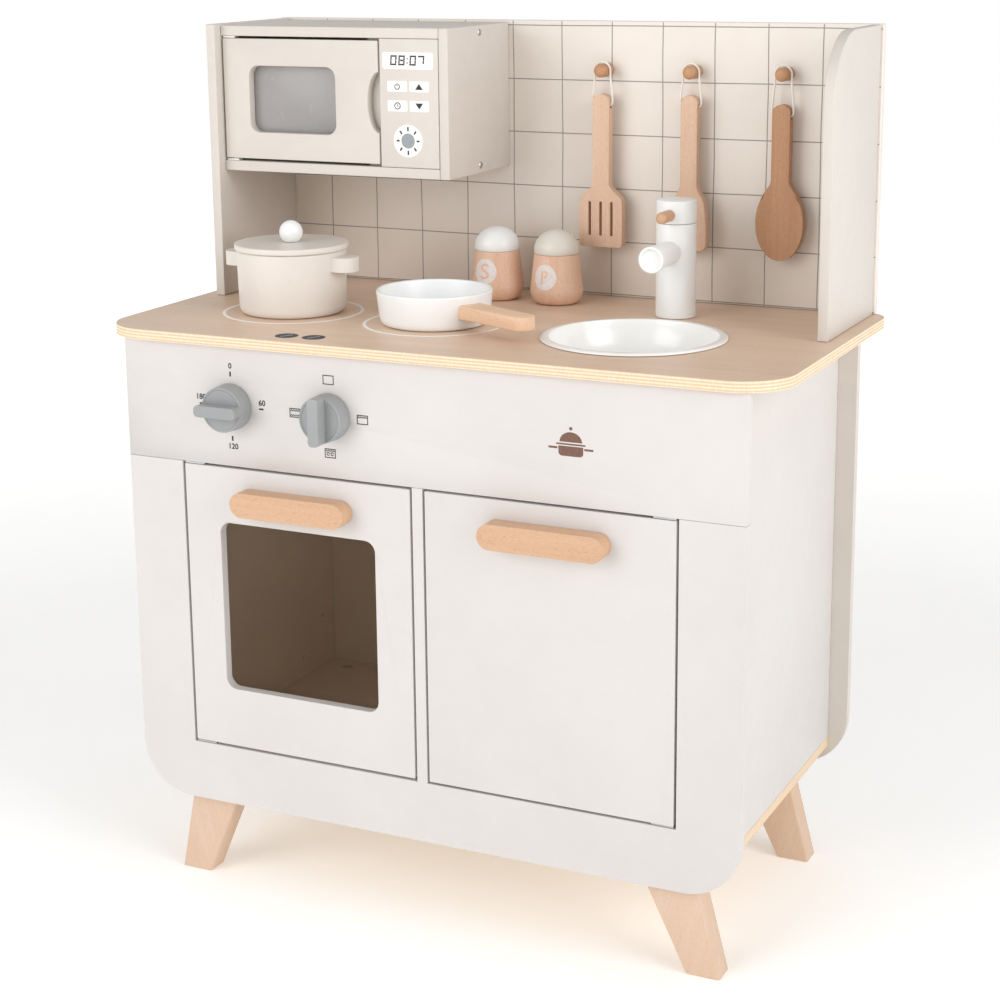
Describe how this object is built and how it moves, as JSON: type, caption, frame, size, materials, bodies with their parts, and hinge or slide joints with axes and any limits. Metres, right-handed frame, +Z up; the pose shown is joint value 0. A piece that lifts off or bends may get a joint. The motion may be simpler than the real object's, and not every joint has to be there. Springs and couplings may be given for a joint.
{
  "type": "toy kitchen",
  "caption": "Wooden play kitchen on splayed legs with oven, cupboard, sink and tap, hob, microwave, tiled back with hanging utensils, pot, pan and shakers.",
  "frame": {"origin": "middle of the object's outline on the floor, at the height of the undersides of the feet", "axes": "+Z up, -Y out of the front of the kitchen, +X to the right of someone who stands in front of it"},
  "size_m": [0.61, 0.3313, 0.7445],
  "materials": {
    "white_lacquer": "matt white lacquer on board",
    "beige_lacquer": "matt beige lacquer on board",
    "tile_print": "beige lacquer printed with thin grey tile lines",
    "birch_plywood": "clear varnished birch plywood",
    "beech": "natural pale beech",
    "utensil_beech": "oiled beech, warmer than the legs",
    "clear_pane": "clear acrylic sheet",
    "zinc_plate": "zinc plated",
    "white_plastic": "moulded white",
    "grey_plastic": "moulded cool grey",
    "white_enamel": "satin white",
    "cream_lacquer": "satin cream lacquer",
    "cotton_cord": "twisted white cotton"
  },
  "bodies": {
    "kitchen": {"control_panel": "white_lacquer", "front_frame": "white_lacquer", "left_side_panel": "white_lacquer", "right_side_panel": "white_lacquer", "centre_divider": "beige_lacquer", "lower_back_panel": "beige_lacquer", "upper_left_panel": "beige_lacquer", "upper_right_panel": "beige_lacquer", "microwave_top_board": "beige_lacquer", "microwave_bottom_board": "beige_lacquer", "microwave_side_panel": "beige_lacquer", "microwave_control_panel": "beige_lacquer", "tile_panel": "tile_print", "countertop": "birch_plywood", "bottom_board": "birch_plywood", "leg_front_left": "beech", "leg_front_right": "beech", "leg_rear_left": "beech", "leg_rear_right": "beech", "peg_left": "beech", "peg_middle": "beech", "peg_right": "beech", "oven_hinge_top": "zinc_plate", "oven_hinge_bottom": "zinc_plate", "cupboard_hinge_top": "zinc_plate", "cupboard_hinge_bottom": "zinc_plate", "microwave_hinge_top": "white_plastic", "microwave_hinge_bottom": "white_plastic", "door_catch": "white_plastic", "faucet_body": "white_enamel", "faucet_spout": "white_enamel"},
    "oven_door": {"oven_door": "white_lacquer", "oven_window": "clear_pane", "oven_handle": "beech"},
    "cupboard_door": {"cupboard_door": "white_lacquer", "cupboard_handle": "beech"},
    "microwave_door": {"microwave_door": "beige_lacquer", "microwave_window": "clear_pane"},
    "oven_knob": {"oven_knob": "grey_plastic"},
    "timer_knob": {"timer_knob": "grey_plastic"},
    "tap_cap": {"faucet_cap": "white_enamel", "faucet_lever": "beech"},
    "sink": {"sink_bowl": "white_enamel"},
    "pot": {"pot_body": "cream_lacquer", "pot_handle_left": "cream_lacquer", "pot_handle_right": "cream_lacquer"},
    "pot_lid": {"pot_lid": "cream_lacquer", "pot_lid_knob": "white_enamel"},
    "pan": {"pan_body": "white_enamel", "pan_handle": "beech"},
    "salt_shaker": {"salt_shaker_body": "utensil_beech", "salt_shaker_cap": "white_enamel"},
    "pepper_shaker": {"pepper_shaker_body": "utensil_beech", "pepper_shaker_cap": "cream_lacquer"},
    "turner": {"slotted_turner": "utensil_beech", "turner_cord": "cotton_cord"},
    "spatula": {"spatula": "utensil_beech", "spatula_cord": "cotton_cord"},
    "spoon": {"spoon": "utensil_beech", "spoon_cord": "cotton_cord"}
  },
  "joints": [
    {"name": "oven_door_hinge", "type": "hinge", "parent": "kitchen", "child": "oven_door", "pos_m": [-0.2144, -0.13385, 0.256], "axis": [0, 0, -1], "range_deg": [0, 100]},
    {"name": "cupboard_door_hinge", "type": "hinge", "parent": "kitchen", "child": "cupboard_door", "pos_m": [0.2144, -0.13385, 0.256], "axis": [0, 0, 1], "range_deg": [0, 100]},
    {"name": "microwave_door_hinge", "type": "hinge", "parent": "kitchen", "child": "microwave_door", "pos_m": [-0.2723, 0.03805, 0.678], "axis": [0, 0, -1], "range_deg": [0, 100]},
    {"name": "oven_knob_turn", "type": "hinge", "parent": "kitchen", "child": "oven_knob", "pos_m": [-0.1745, -0.13835, 0.4368], "axis": [0, -1, 0], "continuous": true},
    {"name": "timer_knob_turn", "type": "hinge", "parent": "kitchen", "child": "timer_knob", "pos_m": [-0.08, -0.13835, 0.4368], "axis": [0, -1, 0], "continuous": true},
    {"name": "tap_cap_turn", "type": "hinge", "parent": "kitchen", "child": "tap_cap", "pos_m": [0.1373, 0.086, 0.588], "axis": [0, 0, 1], "continuous": true},
    {"name": "sink_lift", "type": "slide", "parent": "kitchen", "child": "sink", "axis": [0, 0, 1], "range_m": [0, 0.04]},
    {"name": "pot_lift", "type": "slide", "parent": "kitchen", "child": "pot", "axis": [0, 0, 1], "range_m": [0, 0.06]},
    {"name": "pot_lid_lift", "type": "slide", "parent": "pot", "child": "pot_lid", "axis": [0, 0, 1], "range_m": [0, 0.05]},
    {"name": "pan_lift", "type": "slide", "parent": "kitchen", "child": "pan", "axis": [0, 0, 1], "range_m": [0, 0.06]},
    {"name": "salt_lift", "type": "slide", "parent": "kitchen", "child": "salt_shaker", "axis": [0, 0, 1], "range_m": [0, 0.04]},
    {"name": "pepper_lift", "type": "slide", "parent": "kitchen", "child": "pepper_shaker", "axis": [0, 0, 1], "range_m": [0, 0.04]},
    {"name": "turner_swing", "type": "hinge", "parent": "kitchen", "child": "turner", "pos_m": [0.0446, 0.1437, 0.702], "axis": [0, 1, 0], "range_deg": [-15, 15]},
    {"name": "spatula_swing", "type": "hinge", "parent": "kitchen", "child": "spatula", "pos_m": [0.1279, 0.1437, 0.702], "axis": [0, 1, 0], "range_deg": [-15, 15]},
    {"name": "spoon_swing", "type": "hinge", "parent": "kitchen", "child": "spoon", "pos_m": [0.2114, 0.1437, 0.702], "axis": [0, 1, 0], "range_deg": [-15, 15]}
  ]
}
